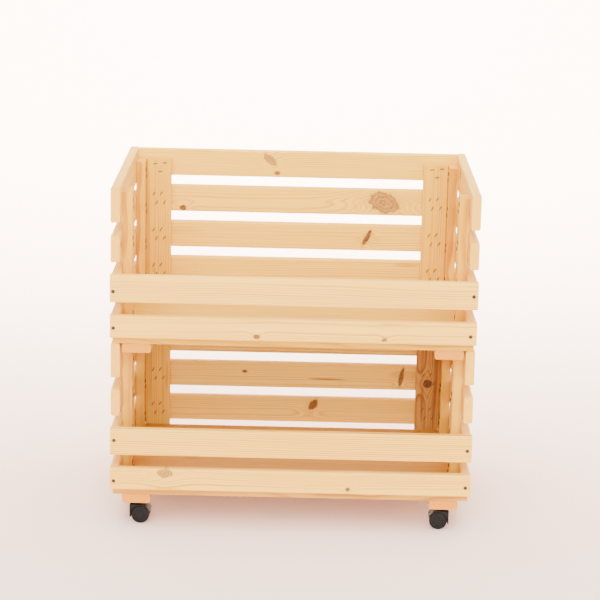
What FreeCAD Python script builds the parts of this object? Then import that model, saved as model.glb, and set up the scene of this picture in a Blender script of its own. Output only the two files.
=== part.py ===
import FreeCAD, Part
import os
import math
from FreeCAD import Vector, Rotation, Placement

# Two slatted pine crates with low open fronts, one standing on the other,
# rolling on four small hooded twin-wheel swivel casters.
# Millimetres.  +Z up, -Y is the open front, origin on the ground under the
# centre of the crates.

doc = FreeCAD.newDocument("StackingCrates")
sheet = doc.addObject("Spreadsheet::Sheet", "Dims")
sheet.Label = "Dims"

ROWS = [
    ("crate_width", 600, "outside width of a crate"),
    ("crate_depth", 400, "outside depth, front rails included"),
    ("slat_thick", 15, "thickness of slats, rails and rear posts"),
    ("slat_tall", 47.5, "height of the back slats"),
    ("slat_round", 3, "rounding of the long edges of a slat"),
    ("post_round", 1.5, "rounding of posts and floor boards"),
    ("back_four_low", 32, "underside of back slat 4, above the runner underside"),
    ("back_three_low", 97.2, "underside of back slat 3"),
    ("back_two_low", 162.6, "underside of back slat 2"),
    ("back_one_low", 228, "underside of back slat 1"),
    ("side_four_low", 28, "underside of side slat 4, on the floor"),
    ("side_four_tall", 38, "height of side slat 4"),
    ("side_three_low", 87, "underside of side slat 3"),
    ("side_three_tall", 44, "height of side slat 3"),
    ("side_two_low", 152, "underside of side slat 2"),
    ("side_two_tall", 45, "height of side slat 2"),
    ("side_one_low", 218, "underside of side slat 1"),
    ("side_one_tall", 58, "height of side slat 1"),
    ("rail_up_low", 88, "underside of the upper front rail"),
    ("rail_up_tall", 46, "height of the upper front rail"),
    ("rail_low_low", 28, "underside of the lower front rail"),
    ("rail_low_tall", 38, "height of the lower front rail"),
    ("runner_tall", 15, "height of a runner"),
    ("runner_wide", 47, "width of a runner"),
    ("runner_inset", 19, "runner edge to the outside of the crate"),
    ("runner_back_gap", 17, "runner rear end to the back of the crate"),
    ("floor_thick", 13, "thickness of a floor board"),
    ("floor_inset", 3, "floor end to the outside of the crate"),
    ("floor_board_wide", 87.5, "width of a floor board"),
    ("floor_board_gap", 1.5, "gap between floor boards"),
    ("post_wide", 44, "width of a post"),
    ("side_post_thick", 16, "thickness of a side post"),
    ("post_top", 259, "top of the posts above the runner underside"),
    ("post_gap", 0.3, "gap between rear post and rear side post"),
    ("front_post_back", 53, "front side post behind the front end of the slats"),
    ("brad_radius", 0.9, "radius of the clenched brads"),
    ("brad_tip", 7.5, "length of a clenched tip"),
    ("rail_nail_radius", 1.6, "shank radius of the rail nails"),
    ("rail_nail_head", 3.2, "head radius of the rail nails"),
    ("rail_nail_long", 40, "length of the rail nails"),
    ("rail_nail_sunk", 0.5, "depth of a rail nail head below the surface"),
    ("caster_height", 41, "ground to the underside of the lower runners"),
    ("stack_pitch", 261, "runner underside of one crate to that of the next"),
    ("plate_thick", 2, "thickness of a caster plate"),
    ("plate_wide", 24, "width of a caster plate"),
    ("plate_long", 37, "length of a caster plate"),
    ("pin_radius", 3, "radius of the swivel pin"),
    ("pin_clear", 0.12, "radial clearance of the swivel pin"),
    ("wheel_radius", 15, "radius of a caster wheel"),
    ("wheel_wide", 9.5, "width of one wheel"),
    ("wheel_trail", 10, "wheel axle behind the swivel axis"),
    ("web_thick", 5, "thickness of the web between the wheels"),
    ("hood_radius", 17.8, "outer radius of the hood"),
    ("hood_bore", 16, "inner radius of the hood"),
    ("hood_wide", 27, "width of the hood"),
    ("hood_skirt", 4, "lower edge of the hood below the wheel axle"),
    ("axle_radius", 2, "radius of the wheel axle"),
    ("axle_clear", 0.12, "radial clearance of the axle in the web"),
    ("caster_inset", 39, "swivel axis to the outside of the crate"),
    ("caster_front", 42, "front swivel axis behind the front face"),
    ("caster_rear", 39, "rear swivel axis ahead of the back face"),
    ("screw_radius", 1.4, "shank radius of the caster screws"),
    ("screw_long", 12, "shank length of the caster screws"),
    ("screw_reach", 14, "caster screws each side of the swivel axis"),
    ("swivel_front_left", -4, "rest angle of the front left caster, degrees"),
    ("swivel_front_right", 178, "rest angle of the front right caster, degrees"),
    ("swivel_rear_left", 28, "rest angle of the rear left caster, degrees"),
    ("swivel_rear_right", 152, "rest angle of the rear right caster, degrees"),
]
for row, (name, number, words) in enumerate(ROWS, 1):
    sheet.set("A%d" % row, words)
    sheet.set("B%d" % row, str(number))
    sheet.setAlias("B%d" % row, name)
doc.recompute()


class Q:
    """A length that carries both its number and its spreadsheet expression."""

    def __init__(self, text, value):
        self.t = text
        self.v = float(value)

    @staticmethod
    def of(other):
        if isinstance(other, Q):
            return other
        return Q("(%r)" % float(other), other)

    def __add__(self, o):
        o = Q.of(o)
        return Q("(%s + %s)" % (self.t, o.t), self.v + o.v)

    def __radd__(self, o):
        return Q.of(o) + self

    def __sub__(self, o):
        o = Q.of(o)
        return Q("(%s - %s)" % (self.t, o.t), self.v - o.v)

    def __rsub__(self, o):
        return Q.of(o) - self

    def __mul__(self, o):
        o = Q.of(o)
        return Q("(%s * %s)" % (self.t, o.t), self.v * o.v)

    def __rmul__(self, o):
        return Q.of(o) * self

    def __truediv__(self, o):
        o = Q.of(o)
        return Q("(%s / %s)" % (self.t, o.t), self.v / o.v)

    def __neg__(self):
        return Q("(0 - %s)" % self.t, -self.v)


class D:
    pass


for name, number, words in ROWS:
    setattr(D, name, Q("Dims." + name, sheet.get(name)))

EXPORT = {}


def plane(body, role):
    for feature in body.Origin.OriginFeatures:
        if feature.Role == role:
            return feature
    raise ValueError(role)


def put(obj, prop, q):
    q = Q.of(q)
    obj.setExpression(prop, q.t)


def place(body, cx, cy, cz, angle=None):
    cx, cy, cz = Q.of(cx), Q.of(cy), Q.of(cz)
    turn = Rotation()
    if angle is not None:
        turn = Rotation(Vector(0, 0, 1), angle.v)
    body.Placement = Placement(Vector(cx.v, cy.v, cz.v), turn)
    put(body, "Placement.Base.x", cx)
    put(body, "Placement.Base.y", cy)
    put(body, "Placement.Base.z", cz)
    if angle is not None:
        put(body, "Placement.Rotation.Angle", angle)


def symmetric(feature):
    if "SideType" in feature.PropertiesList:
        feature.SideType = "Symmetric"
    else:
        feature.Midplane = True


ROLE = {"X": "YZ_Plane", "Y": "XZ_Plane", "Z": "XY_Plane"}
DIRECTION = {"X": Vector(1, 0, 0), "Y": Vector(0, 1, 0), "Z": Vector(0, 0, 1)}


def box_sketch(body, name, role, wide, tall):
    sk = body.newObject("Sketcher::SketchObject", name)
    sk.AttachmentSupport = (plane(body, role), [""])
    sk.MapMode = "FlatFace"
    a, b = wide.v / 2, tall.v / 2
    pts = [Vector(-a, -b, 0), Vector(a, -b, 0), Vector(a, b, 0), Vector(-a, b, 0)]
    for i in range(4):
        sk.addGeometry(Part.LineSegment(pts[i], pts[(i + 1) % 4]), False)
    for i in range(4):
        sk.addConstraint(Part_constraint("Coincident", i, 2, (i + 1) % 4, 1))
    sk.addConstraint(Part_constraint("Horizontal", 0))
    sk.addConstraint(Part_constraint("Horizontal", 2))
    sk.addConstraint(Part_constraint("Vertical", 1))
    sk.addConstraint(Part_constraint("Vertical", 3))
    sk.addConstraint(Part_constraint("Symmetric", 0, 1, 2, 1, -1, 1))
    n = sk.addConstraint(Part_constraint("DistanceX", 0, 1, 0, 2, wide.v))
    sk.renameConstraint(n, "wide")
    sk.setExpression("Constraints.wide", wide.t)
    n = sk.addConstraint(Part_constraint("DistanceY", 1, 1, 1, 2, tall.v))
    sk.renameConstraint(n, "tall")
    sk.setExpression("Constraints.tall", tall.t)
    return sk


def Part_constraint(*args):
    import Sketcher
    return Sketcher.Constraint(*args)


def hole_sketch(body, name, role, centres, radius, offset=None):
    sk = body.newObject("Sketcher::SketchObject", name)
    sk.AttachmentSupport = (plane(body, role), [""])
    sk.MapMode = "FlatFace"
    if offset is not None:
        sk.AttachmentOffset = Placement(Vector(0, 0, offset.v), Rotation())
        put(sk, "AttachmentOffset.Base.z", offset)
    for i, (u, v) in enumerate(centres):
        u, v = Q.of(u), Q.of(v)
        sk.addGeometry(Part.Circle(Vector(u.v, v.v, 0), Vector(0, 0, 1), radius.v), False)
        n = sk.addConstraint(Part_constraint("Radius", i, radius.v))
        sk.renameConstraint(n, "rad%d" % i)
        sk.setExpression("Constraints.rad%d" % i, radius.t)
        n = sk.addConstraint(Part_constraint("DistanceX", -1, 1, i, 3, u.v))
        sk.renameConstraint(n, "across%d" % i)
        sk.setExpression("Constraints.across%d" % i, u.t)
        n = sk.addConstraint(Part_constraint("DistanceY", -1, 1, i, 3, v.v))
        sk.renameConstraint(n, "up%d" % i)
        sk.setExpression("Constraints.up%d" % i, v.t)
    return sk


def board(name, axis, length, wide, tall, centre, rounding, holes=()):
    """A straight piece with rounded long edges and its nail holes.

    holes: dicts with role, centres (relative to the piece's middle), radius,
    and, for a blind hole, offset, deep and reverse."""
    body = doc.addObject("PartDesign::Body", name)
    body.Label = name
    sk = box_sketch(body, name + "_section", ROLE[axis], wide, tall)
    pad = body.newObject("PartDesign::Pad", name + "_pad")
    pad.Profile = sk
    symmetric(pad)
    pad.Length = length.v
    put(pad, "Length", length)
    doc.recompute()
    along = DIRECTION[axis]
    names = []
    for i, edge in enumerate(pad.Shape.Edges, 1):
        if abs(abs(edge.tangentAt(edge.FirstParameter).dot(along)) - 1) < 1e-6:
            names.append("Edge%d" % i)
    fillet = body.newObject("PartDesign::Fillet", name + "_round")
    fillet.Base = (pad, names)
    fillet.Radius = rounding.v
    put(fillet, "Radius", rounding)
    for k, hole in enumerate(holes):
        hs = hole_sketch(body, "%s_holes%d" % (name, k), hole["role"], hole["centres"],
                         hole["radius"], hole.get("offset"))
        cut = body.newObject("PartDesign::Pocket", "%s_bore%d" % (name, k))
        cut.Profile = hs
        if "deep" in hole:
            cut.Type = "Length"
            cut.Length = hole["deep"].v
            put(cut, "Length", hole["deep"])
            cut.Reversed = bool(hole.get("reverse"))
        else:
            cut.Type = "ThroughAll"
            symmetric(cut)
    place(body, *centre)
    return body


def add_prim(body, kind, name, offset, sizes, turn=None):
    f = body.newObject("PartDesign::" + kind, name)
    for prop, q in sizes.items():
        q = Q.of(q)
        setattr(f, prop, q.v)
        put(f, prop, q)
    f.AttachmentSupport = (plane(body, "XY_Plane"), [""])
    f.MapMode = "FlatFace"
    x, y, z = [Q.of(q) for q in offset]
    f.AttachmentOffset = Placement(Vector(x.v, y.v, z.v), turn or Rotation())
    put(f, "AttachmentOffset.Base.x", x)
    put(f, "AttachmentOffset.Base.y", y)
    put(f, "AttachmentOffset.Base.z", z)
    return f


def group(name, members):
    g = doc.addObject("Part::Compound", name)
    g.Label = name
    g.Links = members
    EXPORT[name] = g
    return g


half_w = D.crate_width / 2
half_d = D.crate_depth / 2
front_face = -half_d
slat_front = front_face + D.slat_thick
floor_top = D.runner_tall + D.floor_thick
back_inner = half_d - D.slat_thick
rear_post_front = back_inner - D.slat_thick
side_inner = half_w - D.slat_thick
side_post_x = side_inner - D.side_post_thick / 2
rear_post_x = side_inner - D.side_post_thick - D.post_gap - D.post_wide / 2
rear_post_y = back_inner - D.slat_thick / 2
rear_side_y = back_inner - D.post_wide / 2 - 0.5
front_side_y = slat_front + D.front_post_back + D.post_wide / 2
runner_x = half_w - D.runner_inset - D.runner_wide / 2
runner_long = D.crate_depth - D.slat_thick - D.runner_back_gap
runner_y = (slat_front + half_d - D.runner_back_gap) / 2
side_slat_long = D.crate_depth - D.slat_thick
side_slat_y = (slat_front + half_d) / 2
back_slat_long = D.crate_width - 2 * D.slat_thick

BACK = [("1", D.back_one_low), ("2", D.back_two_low), ("3", D.back_three_low), ("4", D.back_four_low)]
SIDE = [("1", D.side_one_low, D.side_one_tall), ("2", D.side_two_low, D.side_two_tall),
        ("3", D.side_three_low, D.side_three_tall), ("4", D.side_four_low, D.side_four_tall)]

# brad pattern of one post on one slat: offsets across the post and up it,
# and the slope of the clenched tip in degrees
CLENCH = [(-10, 8, 62), (3, 9, 58), (-5, -8, 64), (9, -7, 60)]
CLENCH_TOP = [(-9, 7, 8), (8, 9, 5), (0, -7, 12)]
SIDE_CLENCH = [(-9, 7, 60), (4, -7, 66)]

# rail nails: inset from the end and height inside the rail, hand driven
RAIL_NAILS = {
    "lower": {("left", "up"): (6.8, 25.5), ("right", "up"): (7.4, 20.5),
              ("left", "low"): (6.2, 15.0), ("right", "low"): (8.2, 16.0)},
    "upper": {("left", "up"): (5.4, 18.5), ("right", "up"): (7.4, 23.0),
              ("left", "low"): (5.6, 17.2), ("right", "low"): (10.0, 15.5)},
}


def back_level(tag, low):
    """Height of the brads on a back slat, above the runner underside."""
    if tag == "1":
        return (low + D.post_top) / 2
    return low + D.slat_tall / 2


def side_level(tag, low, tall):
    if tag == "1":
        return (low + D.post_top) / 2
    return low + tall / 2


def floor_rows():
    rows = []
    for k in range(4):
        rows.append(slat_front + D.floor_board_wide / 2 + k * (D.floor_board_wide + D.floor_board_gap))
    return rows


CASTERS = [
    ("front_left", -1, -1, D.swivel_front_left),
    ("front_right", 1, -1, D.swivel_front_right),
    ("rear_left", -1, 1, D.swivel_rear_left),
    ("rear_right", 1, 1, D.swivel_rear_right),
]


def caster_xy(sx, sy):
    cx = sx * (half_w - D.caster_inset)
    if sy < 0:
        cy = front_face + D.caster_front
    else:
        cy = half_d - D.caster_rear
    return cx, cy


def crate(which, base):
    pre = which + "_"
    # back slats, between the side slats
    for tag, low in BACK:
        lvl = back_level(tag, low)
        mid = low + D.slat_tall / 2
        pattern = CLENCH_TOP if tag == "1" else CLENCH
        centres = []
        for sx in (-1, 1):
            for du, dv, slope in pattern:
                centres.append((sx * rear_post_x + du, lvl - mid + dv))
        b = board(pre + "back_slat_" + tag, "X", back_slat_long, D.slat_thick, D.slat_tall,
                  (0, half_d - D.slat_thick / 2, base + mid), D.slat_round,
                  [dict(role="XZ_Plane", centres=centres, radius=D.brad_radius)])
        EXPORT[b.Name] = b
    # side slats, the full depth behind the front rails
    for side, sx in (("left", -1), ("right", 1)):
        for tag, low, tall in SIDE:
            lvl = side_level(tag, low, tall)
            mid = low + tall / 2
            centres = []
            for py in (rear_side_y, front_side_y):
                for du, dv, slope in SIDE_CLENCH:
                    centres.append((py - side_slat_y + du, lvl - mid + dv))
            holes = [dict(role="YZ_Plane", centres=centres, radius=D.brad_radius)]
            if tag in ("3", "4"):
                rail = "up" if tag == "3" else "low"
                inset, rise = RAIL_NAILS[which][(side, rail)]
                rail_low = D.rail_up_low if rail == "up" else D.rail_low_low
                u = sx * (D.slat_thick / 2 - inset)
                v = rail_low + rise - mid
                holes.append(dict(role="XZ_Plane", centres=[(u, v)], radius=D.rail_nail_radius,
                                  offset=side_slat_long / 2,
                                  deep=D.rail_nail_long - D.slat_thick + D.rail_nail_sunk))
            b = board(pre + side + "_slat_" + tag, "Y", side_slat_long, D.slat_thick, tall,
                      (sx * (half_w - D.slat_thick / 2), side_slat_y, base + mid), D.slat_round, holes)
            EXPORT[b.Name] = b
    # front rails, nailed to the ends of the side slats
    for tag, rail, low, tall in (("upper", "up", D.rail_up_low, D.rail_up_tall),
                                 ("lower", "low", D.rail_low_low, D.rail_low_tall)):
        mid = low + tall / 2
        centres = []
        for side, sx in (("left", -1), ("right", 1)):
            inset, rise = RAIL_NAILS[which][(side, rail)]
            centres.append((sx * (half_w - inset), low + rise - mid))
        b = board(pre + "front_rail_" + tag, "X", D.crate_width, D.slat_thick, tall,
                  (0, front_face + D.slat_thick / 2, base + mid), D.slat_round,
                  [dict(role="XZ_Plane", centres=centres, radius=D.rail_nail_radius),
                   dict(role="XZ_Plane", centres=centres, radius=D.rail_nail_head,
                        offset=D.slat_thick / 2, deep=D.rail_nail_sunk + 1.2)])
        EXPORT[b.Name] = b
    # rear posts, standing on the runners
    post_long = D.post_top - D.runner_tall
    post_mid = (D.post_top + D.runner_tall) / 2
    for side, sx in (("left", -1), ("right", 1)):
        centres = []
        for tag, low in BACK:
            pattern = CLENCH_TOP if tag == "1" else CLENCH
            for du, dv, slope in pattern:
                centres.append((du, back_level(tag, low) + dv - post_mid))
        b = board(pre + "rear_post_" + side, "Z", post_long, D.post_wide, D.slat_thick,
                  (sx * rear_post_x, rear_post_y, base + post_mid), D.post_round,
                  [dict(role="XZ_Plane", centres=centres, radius=D.brad_radius)])
        EXPORT[b.Name] = b
    # side posts, two on each side, standing on the floor
    side_long = D.post_top - floor_top
    side_mid = (D.post_top + floor_top) / 2
    for side, sx in (("left", -1), ("right", 1)):
        pair = []
        for where, py in (("rear", rear_side_y), ("front", front_side_y)):
            centres = []
            for tag, low, tall in SIDE:
                for du, dv, slope in SIDE_CLENCH:
                    centres.append((du, side_level(tag, low, tall) + dv - side_mid))
            b = board(pre + "side_post_" + side + "_" + where, "Z", side_long, D.side_post_thick, D.post_wide,
                      (sx * side_post_x, py, base + side_mid), D.post_round,
                      [dict(role="YZ_Plane", centres=centres, radius=D.brad_radius)])
            pair.append(b)
        group(pre + "side_posts_" + side, pair)
    # runners
    rows = floor_rows()
    for side, sx in (("left", -1), ("right", 1)):
        centres = []
        for fy in rows:
            centres.append((-11, fy - runner_y - 22))
            centres.append((11, fy - runner_y + 22))
        holes = [dict(role="XY_Plane", centres=centres, radius=D.brad_radius)]
        if which == "lower":
            screws = []
            for nm, cxs, cys, turn in CASTERS:
                if cxs == sx:
                    cx, cy = caster_xy(cxs, cys)
                    for d in (-1, 1):
                        screws.append((cx - sx * runner_x, cy - runner_y + d * D.screw_reach))
            holes.append(dict(role="XY_Plane", centres=screws, radius=D.screw_radius,
                              offset=-D.runner_tall / 2, deep=D.screw_long - D.plate_thick, reverse=True))
        b = board(pre + "runner_" + side, "Y", runner_long, D.runner_wide, D.runner_tall,
                  (sx * runner_x, runner_y, base + D.runner_tall / 2), D.slat_round, holes)
        EXPORT[b.Name] = b
    # floor boards
    boards = []
    for k, fy in enumerate(rows, 1):
        centres = []
        for sx in (-1, 1):
            centres.append((sx * runner_x - 11, -22))
            centres.append((sx * runner_x + 11, 22))
        b = board(pre + "floor_board_%d" % k, "X", D.crate_width - 2 * D.floor_inset,
                  D.floor_board_wide, D.floor_thick,
                  (0, fy, base + D.runner_tall + D.floor_thick / 2), D.post_round,
                  [dict(role="XY_Plane", centres=centres, radius=D.brad_radius)])
        boards.append(b)
    group(pre + "floor_boards", boards)

    # brads: round wire, flush outside, tip bent over and driven flat inside
    r = D.brad_radius.v
    bz = base.v
    solids = []

    def clenched(outer, inner, across, slope):
        """outer and inner are the ends of the shank on the two faces; across is the
        direction lying along the post face that the tip is bent towards."""
        axis = inner.sub(outer)
        long = axis.Length
        axis.normalize()
        shank = Part.makeCylinder(r, long + 0.7, outer, axis)
        leg = Part.makeBox(D.brad_tip.v, 2 * r - 0.2, 1.2, Vector(-1.2, 0.1 - r, 0))
        turned = across.cross(axis)
        lay = Placement(inner, Rotation(across, turned, axis, "ZXY"))
        tilt = Placement(Vector(0, 0, 0), Rotation(Vector(0, 0, 1), slope if turned.z < 0 else slope))
        leg.Placement = lay.multiply(tilt)
        return shank.fuse(leg)

    for tag, low in BACK:
        lvl = back_level(tag, low).v
        pattern = CLENCH_TOP if tag == "1" else CLENCH
        for sx in (-1, 1):
            for du, dv, slope in pattern:
                x = sx * rear_post_x.v + du
                z = bz + lvl + dv
                solids.append(clenched(Vector(x, half_d.v, z), Vector(x, rear_post_front.v, z),
                                       Vector(1, 0, 0), slope))
    post_inner = side_inner.v - D.side_post_thick.v
    for sx in (-1, 1):
        for tag, low, tall in SIDE:
            lvl = side_level(tag, low, tall).v
            for py in (rear_side_y.v, front_side_y.v):
                for du, dv, slope in SIDE_CLENCH:
                    y = py + du
                    z = bz + lvl + dv
                    solids.append(clenched(Vector(sx * half_w.v, y, z), Vector(sx * post_inner, y, z),
                                           Vector(0, -1, 0), slope))
    for fy in rows:
        for sx in (-1, 1):
            for dx, dy in ((-11, -22), (11, 22)):
                solids.append(Part.makeCylinder(r, floor_top.v, Vector(sx * runner_x.v + dx, fy.v + dy, bz)))
    f = doc.addObject("Part::Feature", pre + "brads")
    f.Label = pre + "brads"
    f.Shape = Part.makeCompound(solids)
    EXPORT[f.Name] = f

    # rail nails with flat heads, driven just below the face of the rails
    solids = []
    for (side, rail), (inset, rise) in RAIL_NAILS[which].items():
        sx = -1 if side == "left" else 1
        low = D.rail_up_low if rail == "up" else D.rail_low_low
        x = sx * (half_w.v - inset)
        z = bz + low.v + rise
        y = front_face.v + D.rail_nail_sunk.v
        head = Part.makeCylinder(D.rail_nail_head.v, 1.2, Vector(x, y, z), Vector(0, 1, 0))
        shank = Part.makeCylinder(D.rail_nail_radius.v, D.rail_nail_long.v, Vector(x, y, z), Vector(0, 1, 0))
        solids.append(head.fuse(shank).removeSplitter())
    f = doc.addObject("Part::Feature", pre + "rail_nails")
    f.Label = pre + "rail_nails"
    f.Shape = Part.makeCompound(solids)
    EXPORT[f.Name] = f


crate("lower", D.caster_height)
crate("upper", D.caster_height + D.stack_pitch)

# casters: local x points from the swivel axis to the wheel axle
flat_y = Rotation(Vector(1, 0, 0), -90)
axle_z = D.wheel_radius
deck = D.caster_height - D.plate_thick
hood_top = axle_z + D.hood_radius
screws = []
for name, sx, sy, turn in CASTERS:
    cx, cy = caster_xy(sx, sy)
    # fixed plate with its swivel pin
    b = doc.addObject("PartDesign::Body", "caster_plate_" + name)
    b.Label = b.Name
    add_prim(b, "AdditiveBox", b.Name + "_sheet", (-D.plate_wide / 2, -D.plate_long / 2, deck),
             dict(Length=D.plate_wide, Width=D.plate_long, Height=D.plate_thick))
    add_prim(b, "AdditiveCylinder", b.Name + "_pin", (0, 0, deck - 6),
             dict(Radius=D.pin_radius, Height=Q.of(6) + D.plate_thick))
    for k in (-1, 1):
        add_prim(b, "SubtractiveCylinder", b.Name + "_screw%d" % (k + 2), (0, k * D.screw_reach, deck - 1),
                 dict(Radius=D.screw_radius, Height=D.plate_thick + 2))
    place(b, cx, cy, 0)
    EXPORT[b.Name] = b

    # hood: crown over both wheels, swivel block and central web
    b = doc.addObject("PartDesign::Body", "caster_hood_" + name)
    b.Label = b.Name
    hw = D.hood_wide
    add_prim(b, "AdditiveCylinder", b.Name + "_crown", (D.wheel_trail, -hw / 2, axle_z),
             dict(Radius=D.hood_radius, Height=hw), flat_y)
    block_x = D.wheel_trail - D.hood_radius
    add_prim(b, "AdditiveBox", b.Name + "_block", (block_x, -hw / 2, axle_z - D.hood_skirt),
             dict(Length=D.hood_radius, Width=hw, Height=D.hood_radius + D.hood_skirt))
    add_prim(b, "SubtractiveBox", b.Name + "_under", (block_x - 5, -hw / 2 - 1, 0 - D.hood_radius),
             dict(Length=D.hood_radius * 2 + 10, Width=hw + 2, Height=axle_z + D.hood_radius - D.hood_skirt))
    add_prim(b, "SubtractiveBox", b.Name + "_tail", (D.wheel_trail + 12, -hw / 2 - 1, axle_z - D.hood_skirt - 2),
             dict(Length=D.hood_radius, Width=hw + 2, Height=D.hood_skirt + 9))
    for k, y0 in ((1, -hw / 2 - 1), (2, D.web_thick / 2)):
        add_prim(b, "SubtractiveCylinder", b.Name + "_well%d" % k, (D.wheel_trail, y0, axle_z),
                 dict(Radius=D.hood_bore, Height=hw / 2 - D.web_thick / 2 + 1), flat_y)
    add_prim(b, "AdditiveCylinder", b.Name + "_web", (D.wheel_trail, -D.web_thick / 2, axle_z),
             dict(Radius=Q.of(9), Height=D.web_thick), flat_y)
    add_prim(b, "AdditiveCylinder", b.Name + "_boss", (0, 0, hood_top - 1.2),
             dict(Radius=Q.of(7.5), Height=deck - 0.5 - hood_top + 1.2))
    add_prim(b, "SubtractiveCylinder", b.Name + "_socket", (0, 0, deck - 6.6),
             dict(Radius=D.pin_radius + D.pin_clear, Height=Q.of(9)))
    add_prim(b, "SubtractiveCylinder", b.Name + "_axle_bore", (D.wheel_trail, -D.web_thick, axle_z),
             dict(Radius=D.axle_radius + D.axle_clear, Height=D.web_thick * 2), flat_y)
    place(b, cx, cy, 0, turn)
    EXPORT[b.Name] = b

    # two wheels pressed on one axle
    pair = []
    gap = D.web_thick / 2 + 0.6
    for k, y0 in ((1, gap), (2, -gap - D.wheel_wide)):
        b = doc.addObject("PartDesign::Body", "caster_wheel_%s_%d" % (name, k))
        b.Label = b.Name
        tyre = add_prim(b, "AdditiveCylinder", b.Name + "_disc", (D.wheel_trail, y0, axle_z),
                        dict(Radius=D.wheel_radius, Height=D.wheel_wide), flat_y)
        doc.recompute()
        rims = []
        for i, edge in enumerate(tyre.Shape.Edges, 1):
            if isinstance(edge.Curve, Part.Circle) and abs(edge.Curve.Radius - D.wheel_radius.v) < 0.01:
                rims.append("Edge%d" % i)
        soft = b.newObject("PartDesign::Fillet", b.Name + "_tread")
        soft.Base = (tyre, rims)
        soft.Radius = 1.6
        # dished outer face with a raised hub cap
        out = gap + D.wheel_wide - 1.2 if k == 1 else -gap - D.wheel_wide - 1
        add_prim(b, "SubtractiveCylinder", b.Name + "_dish", (D.wheel_trail, out, axle_z),
                 dict(Radius=Q.of(11), Height=Q.of(2.2)), flat_y)
        cap = gap + D.wheel_wide - 2 if k == 1 else -gap - D.wheel_wide + 0.2
        add_prim(b, "AdditiveCylinder", b.Name + "_cap", (D.wheel_trail, cap, axle_z),
                 dict(Radius=Q.of(6), Height=Q.of(1.8)), flat_y)
        deep = gap + D.wheel_wide - 3 - gap + 0.5
        start = gap - 0.5 if k == 1 else -gap - D.wheel_wide + 3
        add_prim(b, "SubtractiveCylinder", b.Name + "_bore", (D.wheel_trail, start, axle_z),
                 dict(Radius=D.axle_radius, Height=deep), flat_y)
        place(b, cx, cy, 0, turn)
        pair.append(b)
    b = doc.addObject("PartDesign::Body", "caster_axle_" + name)
    b.Label = b.Name
    reach = gap + D.wheel_wide - 3
    add_prim(b, "AdditiveCylinder", b.Name + "_rod", (D.wheel_trail, -reach, axle_z),
             dict(Radius=D.axle_radius, Height=reach * 2), flat_y)
    place(b, cx, cy, 0, turn)
    pair.append(b)
    group("caster_wheels_" + name, pair)

    # two screws up through the plate into the runner
    for k in (-1, 1):
        x, y = cx.v, cy.v + k * D.screw_reach.v
        z = deck.v
        shank = Part.makeCylinder(D.screw_radius.v, D.screw_long.v, Vector(x, y, z), Vector(0, 0, 1))
        head = Part.makeCylinder(2.7, 1.4, Vector(x, y, z - 1.4), Vector(0, 0, 1))
        slot = Part.makeBox(3.6, 0.7, 0.6, Vector(x - 1.8, y - 0.35, z - 1.4))
        cross = Part.makeBox(0.7, 3.6, 0.6, Vector(x - 0.35, y - 1.8, z - 1.4))
        screws.append(head.fuse(shank).removeSplitter().cut(slot).cut(cross))

f = doc.addObject("Part::Feature", "caster_screws")
f.Label = "caster_screws"
f.Shape = Part.makeCompound(screws)
EXPORT[f.Name] = f

doc.recompute()

bad = []
for obj in doc.Objects:
    for word in ("Invalid", "Error"):
        if word in obj.State:
            bad.append((obj.Name, obj.State))
if bad:
    raise RuntimeError("features with errors: %s" % bad[:10])

os.makedirs("parts", exist_ok=True)
for old in os.listdir("parts"):
    if old.endswith(".step"):
        os.remove(os.path.join("parts", old))
whole = FreeCAD.BoundBox()
for name in sorted(EXPORT):
    shape = EXPORT[name].Shape
    if shape.isNull() or not shape.isValid() or not shape.Solids:
        raise RuntimeError("bad shape: " + name)
    shape.exportStep(os.path.join("parts", name + ".step"))
    whole.add(shape.BoundBox)
for name in sorted(EXPORT):
    box = EXPORT[name].Shape.optimalBoundingBox()
    if box.ZMin < 40.9 or not name[0] == "c" or box.ZMax > 41.1:
        print("%-32s x %.2f %.2f  y %.2f %.2f  z %.2f %.2f" % (name, box.XMin, box.XMax, box.YMin, box.YMax, box.ZMin, box.ZMax))
print("nodes", len(EXPORT), "solids", sum(len(EXPORT[n].Shape.Solids) for n in EXPORT))
print("box", whole)
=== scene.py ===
import math
import random

import bmesh
import bpy
from mathutils import Matrix, Vector


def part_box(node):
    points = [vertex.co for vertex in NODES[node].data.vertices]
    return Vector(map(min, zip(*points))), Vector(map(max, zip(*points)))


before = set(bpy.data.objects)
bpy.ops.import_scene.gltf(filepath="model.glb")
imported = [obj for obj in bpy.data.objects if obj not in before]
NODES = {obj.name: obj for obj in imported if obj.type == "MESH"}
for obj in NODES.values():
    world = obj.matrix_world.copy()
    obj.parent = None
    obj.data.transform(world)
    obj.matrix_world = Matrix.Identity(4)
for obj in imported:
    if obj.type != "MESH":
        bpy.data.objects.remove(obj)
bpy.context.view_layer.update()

scene = bpy.context.scene


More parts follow.
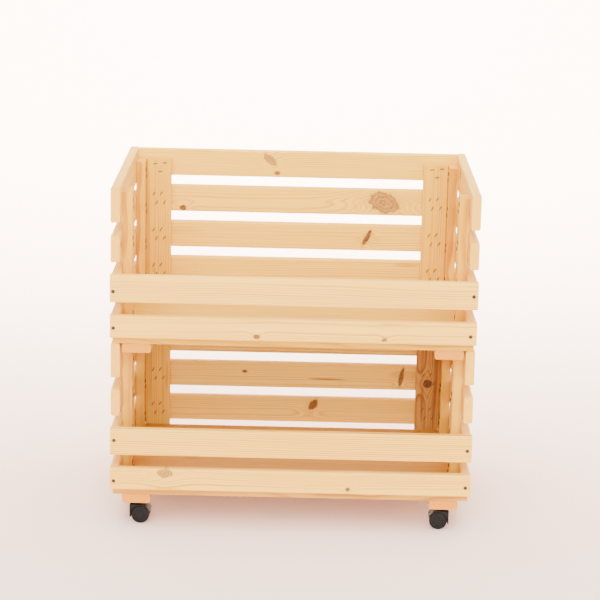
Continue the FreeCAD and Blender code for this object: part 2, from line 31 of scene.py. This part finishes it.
# ---------------------------------------------------------------- node helpers
class Graph:
    def __init__(self, name):
        self.mat = bpy.data.materials.new(name)
        self.mat.use_nodes = True
        self.nt = self.mat.node_tree
        self.nt.nodes.clear()
        self.out = self.nt.nodes.new("ShaderNodeOutputMaterial")
        self.bsdf = self.nt.nodes.new("ShaderNodeBsdfPrincipled")
        self.nt.links.new(self.bsdf.outputs[0], self.out.inputs[0])

    def new(self, kind, **props):
        n = self.nt.nodes.new(kind)
        for k, v in props.items():
            setattr(n, k, v)
        return n

    def feed(self, socket, value):
        if isinstance(value, bpy.types.NodeSocket):
            self.nt.links.new(value, socket)
        elif value is not None:
            socket.default_value = value

    def math(self, op, a, b=None, c=None, clamp=False):
        n = self.new("ShaderNodeMath", operation=op, use_clamp=clamp)
        self.feed(n.inputs[0], a)
        if b is not None:
            self.feed(n.inputs[1], b)
        if c is not None:
            self.feed(n.inputs[2], c)
        return n.outputs[0]

    def add(self, a, b):
        return self.math("ADD", a, b)

    def sub(self, a, b):
        return self.math("SUBTRACT", a, b)

    def mul(self, a, b):
        return self.math("MULTIPLY", a, b)

    def combine(self, x, y, z):
        n = self.new("ShaderNodeCombineXYZ")
        self.feed(n.inputs[0], x)
        self.feed(n.inputs[1], y)
        self.feed(n.inputs[2], z)
        return n.outputs[0]

    def noise(self, vector, scale=1.0, detail=2.0, rough=0.5, distort=0.0):
        n = self.new("ShaderNodeTexNoise")
        self.feed(n.inputs["Vector"], vector)
        n.inputs["Scale"].default_value = scale
        n.inputs["Detail"].default_value = detail
        n.inputs["Roughness"].default_value = rough
        n.inputs["Distortion"].default_value = distort
        return n.outputs[0]

    def step(self, value, lo, hi, to_lo=0.0, to_hi=1.0, smooth=True):
        n = self.new("ShaderNodeMapRange")
        n.interpolation_type = "SMOOTHSTEP" if smooth else "LINEAR"
        self.feed(n.inputs[0], value)
        n.inputs[1].default_value = lo
        n.inputs[2].default_value = hi
        n.inputs[3].default_value = to_lo
        n.inputs[4].default_value = to_hi
        return n.outputs[0]

    def mix(self, fac, a, b, mode="MIX"):
        n = self.new("ShaderNodeMix", data_type="RGBA", blend_type=mode)
        n.clamp_factor = True
        self.feed(n.inputs[0], fac)
        self.feed(n.inputs[6], a)
        self.feed(n.inputs[7], b)
        return n.outputs[2]

    def ramp(self, value, stops):
        n = self.new("ShaderNodeValToRGB")
        self.feed(n.inputs[0], value)
        e = n.color_ramp.elements
        while len(e) < len(stops):
            e.new(0.5)
        for slot_, (pos, col) in zip(e, stops):
            slot_.position = pos
            slot_.color = col if len(col) == 4 else (*col, 1)
        return n.outputs[0]

    def bump(self, height, strength, distance):
        n = self.new("ShaderNodeBump")
        n.inputs["Strength"].default_value = strength
        n.inputs["Distance"].default_value = distance
        self.feed(n.inputs["Height"], height)
        self.feed(self.bsdf.inputs["Normal"], n.outputs[0])


def rgb(r, g, b):
    """sRGB 0..255 to linear."""
    out = []
    for c in (r, g, b):
        c = c / 255
        out.append(c / 12.92 if c <= 0.04045 else ((c + 0.055) / 1.055) ** 2.4)
    return (*out, 1.0)


# ---------------------------------------------------------------------- pine
def pine(name, axis, face, centre, seed, tone, knots=(), pith=(0.03, 0.02), ring=0.0032, wander=0.010, contrast=1.0, streaks=(),
         end_tint=(0.97, 0.93, 0.88)):
    """Solid pine. axis: the way the grain runs; face: the axis across the broad face;
    centre: middle of the board; tone: (light, dark, tint) linear colours;
    knots: (along, across, radius, stretch, darkness) in metres from the centre."""
    g = Graph(name)
    rnd = random.Random(seed)
    idx = {"X": 0, "Y": 1, "Z": 2}
    ia = idx[axis]
    ic = idx[face]
    ib = 3 - ia - ic
    tc = g.new("ShaderNodeTexCoord")
    sep = g.new("ShaderNodeSeparateXYZ")
    g.feed(sep.inputs[0], tc.outputs["Object"])
    along = g.sub(sep.outputs[ia], centre[ia])
    across = g.sub(sep.outputs[ic], centre[ic])
    deep = g.sub(sep.outputs[ib], centre[ib])
    s0 = rnd.uniform(-40, 40)

    slow = g.combine(g.add(g.mul(along, 2.2), s0), g.mul(across, 9), g.mul(deep, 9))
    warp1 = g.mul(g.sub(g.noise(slow, 1.0, 2.0, 0.45), 0.5), wander * 2)
    slow2 = g.combine(g.add(g.mul(along, 9), s0 + 7), g.mul(across, 28), g.mul(deep, 28))
    warp2 = g.mul(g.sub(g.noise(slow2, 1.0, 2.0, 0.5), 0.5), wander * 0.28)
    lean = rnd.uniform(-0.010, 0.010)
    u = g.add(g.add(across, pith[0]), g.add(warp1, g.mul(along, lean)))
    v = g.add(deep, pith[1])
    r = g.math("SQRT", g.add(g.mul(u, u), g.mul(v, v)))
    r = g.add(r, warp2)

    knot_mask = None
    knot_rim = None
    knot_ring = None
    knot_age = None
    for kx, ky, kr, stretch, dark, turn in knots:
        wob = g.noise(g.combine(g.mul(along, 120), g.mul(across, 120), s0 + kx * 50), 1.0, 2.0, 0.5)
        ex, ey = g.sub(along, kx), g.sub(across, ky)
        ct, st = math.cos(math.radians(turn)), math.sin(math.radians(turn))
        dx = g.mul(g.add(g.mul(ex, ct), g.mul(ey, st)), 1.0 / (kr * stretch))
        dy = g.mul(g.sub(g.mul(ey, ct), g.mul(ex, st)), 1.0 / kr)
        d = g.math("SQRT", g.add(g.mul(dx, dx), g.mul(dy, dy)))
        d = g.add(d, g.mul(g.sub(wob, 0.5), 0.72))
        # rings part around the knot
        push = g.math("POWER", 2.71828, g.mul(g.mul(d, d), -0.16))
        side = g.math("SIGN", g.sub(across, ky))
        lift = g.mul(push, g.mul(side, kr * 0.95))
        r = g.sub(r, lift)
        mask = g.step(d, 1.08, 0.80)
        rim = g.mul(g.step(d, 1.55, 1.0), dark)
        rings = g.math("FRACT", g.mul(d, 3.3))
        rings = g.mul(mask, g.step(rings, 0.35, 0.95))
        age = g.mul(mask, dark)
        knot_age = age if knot_age is None else g.math("MAXIMUM", knot_age, age)
        knot_mask = mask if knot_mask is None else g.math("MAXIMUM", knot_mask, mask)
        knot_rim = rim if knot_rim is None else g.math("MAXIMUM", knot_rim, rim)
        knot_ring = rings if knot_ring is None else g.math("MAXIMUM", knot_ring, rings)

    # growth rings: wide pale early wood, a thin sharp line of late wood
    beat = g.noise(g.combine(g.mul(r, 60), s0, 0.0), 1.0, 1.0, 0.5)
    phase = g.add(g.mul(r, 1.0 / ring), g.mul(beat, 2.2))
    f = g.math("FRACT", phase)
    rise = g.step(f, 0.25, 0.86)
    fall = g.step(f, 0.90, 1.0, 1.0, 0.0)
    late = g.mul(g.math("POWER", rise, 2.2), fall)
    patch = g.noise(g.combine(g.add(g.mul(along, 3), s0), g.mul(r, 160), 3.0), 1.0, 2.0, 0.5)
    late = g.mul(late, g.step(patch, 0.3, 0.68, 0.35, 1.0))

    # fibres and short resin flecks along the grain
    fib_v = g.combine(g.add(g.mul(along, 9), s0), g.mul(across, 620), g.mul(deep, 620))
    fibre = g.noise(fib_v, 1.0, 3.0, 0.6)
    fleck_v = g.combine(g.add(g.mul(along, 26), s0), g.mul(across, 900), g.mul(deep, 900))
    fleck = g.step(g.noise(fleck_v, 1.0, 1.0, 0.5), 0.70, 0.80)

    # slow change of colour over the board
    cloud = g.noise(g.combine(g.add(g.mul(along, 3.4), s0), g.mul(across, 16), g.mul(deep, 16)), 1.0, 3.0, 0.55)

    light, dark_c, tint = tone
    col = g.mix(g.mul(late, 0.92 * contrast), light, dark_c)
    col = g.mix(g.step(cloud, 0.38, 0.72, 0.0, 0.55), col, tint, "MIX")
    shade = g.step(fibre, 0.25, 0.75, 0.90, 1.06, smooth=False)
    grey = g.combine(shade, shade, shade)
    col = g.mix(1.0, col, grey, "MULTIPLY")
    col = g.mix(g.mul(fleck, 0.30), col, dark_c)

    # reddish streaks: (along, across, half length, half width, strength)
    for sx, sy, sl, sw, amount in streaks:
        dx = g.mul(g.sub(along, sx), 1.0 / sl)
        dy = g.mul(g.add(g.sub(across, sy), g.mul(warp1, 0.3)), 1.0 / sw)
        dd = g.add(g.mul(dx, dx), g.mul(dy, dy))
        m = g.step(dd, 1.0, 0.1)
        m = g.mul(m, g.step(fibre, 0.30, 0.60, 0.45, 1.0))
        col = g.mix(g.mul(m, amount), col, (0.24, 0.085, 0.018, 1))

    if knot_mask is not None:
        blotch = g.noise(g.combine(g.mul(along, 260), g.mul(across, 260), s0), 1.0, 3.0, 0.6)
        col = g.mix(g.mul(knot_rim, 0.40), col, (0.50, 0.22, 0.035, 1))
        col = g.mix(g.mul(knot_mask, g.step(blotch, 0.30, 0.65, 0.45, 0.90)), col, (0.44, 0.205, 0.050, 1))
        col = g.mix(g.mul(knot_age, g.step(blotch, 0.35, 0.70, 1.0, 0.55)), col, (0.060, 0.026, 0.010, 1))
        col = g.mix(g.mul(knot_ring, 0.62), col, (0.125, 0.052, 0.016, 1))

    # end grain drinks in more light than the faces
    sepn = g.new("ShaderNodeSeparateXYZ")
    g.feed(sepn.inputs[0], tc.outputs["Normal"])
    end = g.step(g.math("ABSOLUTE", sepn.outputs[ia]), 0.75, 0.98)
    pores = g.noise(g.combine(g.mul(along, 200), g.mul(across, 900), g.mul(deep, 900)), 1.0, 2.0, 0.6)
    end_col = g.mix(1.0, col, g.combine(*end_tint), "MULTIPLY")
    end_col = g.mix(g.step(pores, 0.50, 0.75, 0.0, 0.30), end_col, dark_c)
    col = g.mix(end, col, end_col)

    # painted highlight: paler arrises where the board is rounded over, broken up by noise
    n1 = g.math("ABSOLUTE", sepn.outputs[ic])
    n2 = g.math("ABSOLUTE", sepn.outputs[ib])
    painted_edge_highlight = g.mul(g.step(n1, 0.25, 0.60), g.step(n2, 0.25, 0.60))
    highlight_breakup = g.noise(g.combine(g.add(g.mul(along, 40), s0), g.mul(across, 60), g.mul(deep, 60)), 1.0, 3.0, 0.6)
    painted_edge_highlight = g.mul(painted_edge_highlight, g.step(highlight_breakup, 0.35, 0.65, 0.2, 1.0))
    # mixes the painted highlight, a pale orange, over the wood on the rounded arrises
    col = g.mix(g.mul(painted_edge_highlight, 0.35), col, g.mix(0.5, light, (0.96, 0.66, 0.28, 1.0)))

    g.feed(g.bsdf.inputs["Base Color"], col)
    g.bsdf.inputs["Specular IOR Level"].default_value = 0.12
    rough = g.add(g.step(fibre, 0.2, 0.8, 0.54, 0.68, smooth=False), g.mul(late, -0.07))
    rough = g.add(rough, g.mul(end, 0.16))
    g.feed(g.bsdf.inputs["Roughness"], rough)
    height = g.add(g.mul(fibre, 0.55), g.mul(late, 0.45))
    height = g.sub(height, g.mul(fleck, 0.4))
    if knot_mask is not None:
        height = g.add(height, g.mul(knot_mask, 0.5))
    height = g.add(height, g.mul(g.mul(pores, end), 1.2))
    g.bump(height, 0.32, 0.0005)
    return g.mat


# tones: early wood, late wood, slow tint
PALE = ((0.88, 0.52, 0.075, 1), (0.66, 0.27, 0.022, 1), (0.85, 0.46, 0.050, 1))
RAIL = ((0.90, 0.53, 0.066, 1), (0.56, 0.20, 0.014, 1), (0.86, 0.46, 0.044, 1))
BACKT = ((0.88, 0.54, 0.045, 1), (0.62, 0.26, 0.014, 1), (0.85, 0.46, 0.028, 1))
POST = ((0.80, 0.44, 0.018, 1), (0.52, 0.20, 0.007, 1), (0.75, 0.38, 0.012, 1))
POSTL = ((0.80, 0.45, 0.030, 1), (0.52, 0.20, 0.011, 1), (0.75, 0.39, 0.021, 1))
POSTD = ((0.54, 0.265, 0.050, 1), (0.16, 0.052, 0.012, 1), (0.38, 0.155, 0.029, 1))
FLOORT = ((0.80, 0.43, 0.050, 1), (0.56, 0.22, 0.016, 1), (0.75, 0.37, 0.034, 1))
FLOORU = ((0.66, 0.36, 0.016, 1), (0.44, 0.18, 0.006, 1), (0.61, 0.30, 0.010, 1))
FLOORL = ((0.64, 0.33, 0.044, 1), (0.40, 0.16, 0.014, 1), (0.58, 0.27, 0.030, 1))
LOWB = ((0.89, 0.55, 0.078, 1), (0.60, 0.26, 0.022, 1), (0.84, 0.47, 0.052, 1))

KNOTS = {
    # node: [(along, across, radius, stretch, age, lean in degrees)], metres from the middle
    "upper_back_slat_1": [(-0.049, 0.008, 0.0070, 2.2, 0.15, -38), (-0.036, -0.016, 0.0035, 1.6, 0.75, 0)],
    "upper_back_slat_2": [(0.157, 0.000, 0.0190, 1.45, 0.25, -18), (-0.204, -0.017, 0.0050, 1.2, 0.9, 0)],
    "upper_back_slat_3": [(0.127, -0.001, 0.0042, 4.0, 0.95, 62)],
    "upper_front_rail_lower": [(-0.060, -0.0115, 0.0040, 1.5, 0.75, 0), (0.149, -0.012, 0.0032, 1.6, 0.55, 20)],
    "lower_front_rail_lower": [(-0.2085, 0.0115, 0.0085, 1.5, 0.20, 0), (0.096, -0.010, 0.0034, 1.1, 0.85, 0)],
    "lower_back_slat_3": [(-0.0886, 0.006, 0.0030, 1.6, 0.8, 0), (0.198, 0.000, 0.0042, 4.5, 0.75, 80)],
    "lower_back_slat_4": [(0.0375, 0.010, 0.0070, 1.6, 0.85, 52)],
    "lower_rear_post_right": [(-0.022, -0.001, 0.0085, 1.0, 0.95, 30)],
    "upper_left_slat_3": [(0.05, 0.004, 0.007, 1.3, 0.6, 0)],
    "upper_left_slat_2": [(-0.165, 0.002, 0.006, 1.3, 0.4, 0)],
    "lower_left_slat_2": [(-0.07, -0.006, 0.006, 1.2, 0.7, 0)],
    "upper_right_slat_1": [(0.09, 0.010, 0.008, 1.2, 0.6, 0)],
    "lower_right_slat_3": [(0.02, -0.004, 0.006, 1.4, 0.5, 0)],
}
STREAKS = {
    "lower_back_slat_3": [(0.063, -0.006, 0.045, 0.0022, 0.95), (0.205, 0.006, 0.035, 0.012, 0.35)],
    "lower_rear_post_right": [(0.03, 0.014, 0.12, 0.005, 0.8), (-0.06, 0.012, 0.06, 0.004, 0.9),
                              (-0.06, -0.010, 0.05, 0.004, 0.8), (0.05, -0.012, 0.08, 0.004, 0.6)],
    "lower_rear_post_left": [(0.03, -0.014, 0.12, 0.004, 0.35), (-0.02, 0.010, 0.10, 0.003, 0.3)],
    "upper_rear_post_left": [(-0.02, -0.018, 0.14, 0.003, 0.4)],
    "upper_back_slat_2": [(0.157, 0.002, 0.060, 0.018, 0.18)],
    "upper_back_slat_3": [(-0.20, 0.008, 0.040, 0.008, 0.15), (0.127, 0.0, 0.03, 0.014, 0.2)],
    "upper_back_slat_4": [(0.20, 0.016, 0.03, 0.005, 0.4)],
    "upper_front_rail_lower": [(-0.055, 0.016, 0.05, 0.003, 0.25), (0.16, 0.015, 0.03, 0.003, 0.3)],
}


def middle(node):
    lo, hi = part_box(node)
    return tuple((a + b) / 2 for a, b in zip(lo, hi))


seed = 11
for name, obj in NODES.items():
    kind = name.split("_", 1)[1] if name.startswith(("lower_", "upper_")) else name
    level = name.split("_")[0]
    seed += 17
    rnd = random.Random(seed)
    mat = None
    c = middle(name) if level in ("lower", "upper") else None
    knots = KNOTS.get(name, ())
    streaks = STREAKS.get(name, ())
    if kind.startswith("back_slat"):
        tone = BACKT if level == "upper" else LOWB
        mat = pine("wood_" + name, "X", "Z", c, seed, tone, knots,
                   pith=(rnd.uniform(-0.03, 0.03), rnd.uniform(0.012, 0.03)), ring=rnd.uniform(0.0026, 0.0040),
                   wander=rnd.uniform(0.006, 0.014), streaks=streaks)
    elif kind.startswith(("left_slat", "right_slat")):
        mat = pine("wood_" + name, "Y", "Z", c, seed, PALE, knots,
                   pith=(rnd.uniform(-0.03, 0.03), rnd.choice((-1, 1)) * rnd.uniform(0.01, 0.03)),
                   ring=rnd.uniform(0.0024, 0.0036), streaks=streaks)
    elif kind.startswith("front_rail"):
        straight = level == "lower" and kind.endswith("upper")
        mat = pine("wood_" + name, "X", "Z", c, seed, RAIL, knots,
                   pith=(0.045, 0.014) if straight else (rnd.uniform(-0.022, 0.022), 0.022),
                   ring=0.0036 if straight else 0.0034, wander=0.004 if straight else 0.010,
                   contrast=1.25 if straight else 0.85, streaks=streaks)
    elif kind.startswith("rear_post"):
        tone = POSTD if name == "lower_rear_post_right" else (POST if level == "upper" else POSTL)
        mat = pine("wood_" + name, "Z", "X", c, seed, tone, knots, pith=(rnd.uniform(-0.02, 0.02), 0.025),
                   ring=0.0034, wander=0.008, streaks=streaks)
    elif kind.startswith("side_posts"):
        mat = pine("wood_" + name, "Z", "X", c, seed, POST if level == "upper" else POSTL, knots, pith=(0.012, 0.04), ring=0.0026,
                   wander=0.008, streaks=streaks)
    elif kind.startswith("runner"):
        mat = pine("wood_" + name, "Y", "X", c, seed, FLOORT, knots, pith=(rnd.uniform(-0.01, 0.01), -0.012),
                   ring=0.0030, streaks=streaks, end_tint=(0.86, 0.66, 0.55))
    elif kind == "floor_boards":
        mat = pine("wood_" + name, "X", "Y", c, seed, FLOORU if level == "upper" else FLOORL, knots, pith=(0.02, 0.03), ring=0.0034,
                   wander=0.014, streaks=streaks)
    if mat is not None:
        obj.data.materials.clear()
        obj.data.materials.append(mat)


# --------------------------------------------------------------------- metal
def metal(name, colour, rust, rough, scale, metallic):
    g = Graph(name)
    tc = g.new("ShaderNodeTexCoord")
    p = tc.outputs["Object"]
    blot = g.noise(p, scale, 4.0, 0.6)
    fine = g.noise(p, scale * 7, 3.0, 0.6)
    col = g.mix(g.step(blot, 0.40, 0.62), colour, rust)
    col = g.mix(g.step(fine, 0.45, 0.70, 0.0, 0.35), col, (0.02, 0.018, 0.016, 1))
    g.feed(g.bsdf.inputs["Base Color"], col)
    g.bsdf.inputs["Metallic"].default_value = metallic
    g.feed(g.bsdf.inputs["Roughness"], g.step(fine, 0.3, 0.7, rough - 0.1, rough + 0.2))
    g.bump(g.add(blot, g.mul(fine, 0.5)), 0.35, 0.0002)
    return g.mat


def plastic(name, colour, lift, rough, bump=0.25):
    """Black moulded plastic: fine spark texture, dust patches that gather more on upward faces, rubbed edges.
    """
    g = Graph(name)
    tc = g.new("ShaderNodeTexCoord")
    p = tc.outputs["Object"]
    spark = g.noise(p, 2600, 2.0, 0.6)
    cloud = g.noise(p, 70, 4.0, 0.6)
    scuff = g.noise(p, 420, 3.0, 0.7)
    sepn = g.new("ShaderNodeSeparateXYZ")
    g.feed(sepn.inputs[0], tc.outputs["Normal"])
    up = g.step(sepn.outputs[2], 0.3, 1.0)
    dust = g.mul(g.step(cloud, 0.42, 0.70), g.add(g.mul(up, 0.5), 0.25))
    col = g.mix(g.mul(dust, 0.22), colour, lift)
    geo = g.new("ShaderNodeNewGeometry")
    edge = g.step(geo.outputs["Pointiness"], 0.54, 0.62)
    col = g.mix(g.mul(edge, 0.3), col, lift)
    col = g.mix(g.mul(g.step(scuff, 0.60, 0.74), 0.18), col, lift)
    g.feed(g.bsdf.inputs["Base Color"], col)
    g.bsdf.inputs["Specular IOR Level"].default_value = 0.22
    r = g.add(g.step(spark, 0.3, 0.7, rough - 0.06, rough + 0.08), g.mul(dust, 0.25))
    g.feed(g.bsdf.inputs["Roughness"], r)
    g.bump(g.add(g.mul(spark, 0.6), g.mul(scuff, 0.5)), bump, 0.00012)
    return g.mat


nail = metal("rail_nail_steel", rgb(70, 58, 46), rgb(58, 36, 20), 0.55, 900, 0.5)
brad = metal("brad_steel", rgb(120, 82, 34), rgb(92, 58, 22), 0.60, 900, 0.2)
screw = metal("screw_steel", rgb(168, 166, 160), rgb(120, 112, 100), 0.35, 700, 0.9)
plate = plastic("plate_black", rgb(10, 9, 9), rgb(30, 27, 25), 0.45)
hood = plastic("hood_black", rgb(9, 8, 8), rgb(34, 29, 26), 0.45)
wheel = plastic("wheel_black", rgb(8, 7, 7), rgb(32, 27, 25), 0.50)
for name, obj in NODES.items():
    mat = None
    if "rail_nails" in name:
        mat = nail
    elif "brads" in name:
        mat = brad
    elif name == "caster_screws":
        mat = screw
    elif "caster_plate" in name:
        mat = plate
    elif "caster_hood" in name:
        mat = hood
    elif "caster_wheels" in name:
        mat = wheel
    if mat is not None:
        obj.data.materials.clear()
        obj.data.materials.append(mat)


# --------------------------------------------------------------------- stage
def sweep():
    """A paper sweep: floor, a wide curve and a wall behind."""
    bm = bmesh.new()
    prof = [(-9.0, 0.0), (-3.0, 0.0), (0.0, 0.0), (2.2, 0.0)]
    radius = 2.2
    for i in range(1, 25):
        a = math.pi / 2 * i / 24
        prof.append((2.2 + radius * math.sin(a), radius * (1 - math.cos(a))))
    prof.append((4.4, 7.0))
    rows = []
    for x in (-9.0, 9.0):
        rows.append([bm.verts.new((x, y, z)) for y, z in prof])
    for i in range(len(prof) - 1):
        bm.faces.new((rows[0][i], rows[1][i], rows[1][i + 1], rows[0][i + 1]))
    me = bpy.data.meshes.new("paper_sweep")
    bm.normal_update()
    bm.to_mesh(me)
    bm.free()
    for p in me.polygons:
        p.use_smooth = True
    ob = bpy.data.objects.new("paper_sweep", me)
    scene.collection.objects.link(ob)
    g = Graph("paper")
    tc = g.new("ShaderNodeTexCoord")
    mott = g.noise(tc.outputs["Object"], 3.0, 3.0, 0.5)
    g.feed(g.bsdf.inputs["Base Color"], g.mix(mott, (0.96, 0.745, 0.64, 1), (0.97, 0.76, 0.655, 1)))
    g.feed(g.bsdf.inputs["Roughness"], g.step(mott, 0.3, 0.7, 0.80, 0.86))
    me.materials.append(g.mat)
    return ob


sweep()


def area(name, loc, target, size, power, colour=(1, 1, 1), size_y=None, spread=180):
    data = bpy.data.lights.new(name, "AREA")
    data.shape = "RECTANGLE"
    data.size = size
    data.size_y = size_y or size
    data.energy = power
    data.spread = math.radians(spread)
    data.color = colour
    ob = bpy.data.objects.new(name, data)
    ob.location = loc
    ob.rotation_euler = (Vector(target) - Vector(loc)).to_track_quat("-Z", "Y").to_euler()
    scene.collection.objects.link(ob)
    return ob


area("key", (-0.6, -3.4, 2.7), (0.0, 0.0, 0.25), 3.0, 275, (1.0, 0.985, 0.965))
area("front_fill", (0.4, -4.2, 1.0), (0.0, 0.0, 0.35), 3.0, 150, (1.0, 0.985, 0.97), 1.8)
area("side_fill", (3.0, -1.4, 2.0), (0.0, 0.0, 0.3), 2.0, 40, (1.0, 0.985, 0.97))
area("overhead", (0.0, -0.4, 4.2), (0.0, -0.3, 0.0), 3.2, 190, (1.0, 0.985, 0.97))
area("back_wash", (0.0, 1.6, 3.8), (0.0, 3.4, 0.9), 4.2, 1000, (1.0, 0.965, 0.94), 2.4, 105)

world = bpy.data.worlds.new("studio")
scene.world = world
world.use_nodes = True
bg = world.node_tree.nodes["Background"]
bg.inputs[0].default_value = (1.0, 0.975, 0.955, 1)
bg.inputs[1].default_value = 1.5

# -------------------------------------------------------------------- camera
cam = bpy.data.cameras.new("camera")
cam.sensor_fit = "HORIZONTAL"
cam.sensor_width = 36.0
cam.lens = 36.0 * 2101.2 / 600.0
cam.clip_start = 0.05
cam.clip_end = 60
cam_ob = bpy.data.objects.new("camera", cam)
scene.collection.objects.link(cam_ob)
scene.camera = cam_ob
pitch, yaw, roll = math.radians(14.112), math.radians(-0.03), math.radians(1.275)
fwd = Vector((math.sin(yaw) * math.cos(pitch), math.cos(yaw) * math.cos(pitch), -math.sin(pitch)))
right = Vector((math.cos(yaw), -math.sin(yaw), 0.0))
up = right.cross(fwd)
right2 = right * math.cos(roll) + up * math.sin(roll)
up2 = up * math.cos(roll) - right * math.sin(roll)
m = Matrix((right2, up2, -fwd)).transposed().to_4x4()
m.translation = Vector((0.011585, -3.516384, 1.235279))
cam_ob.matrix_world = m
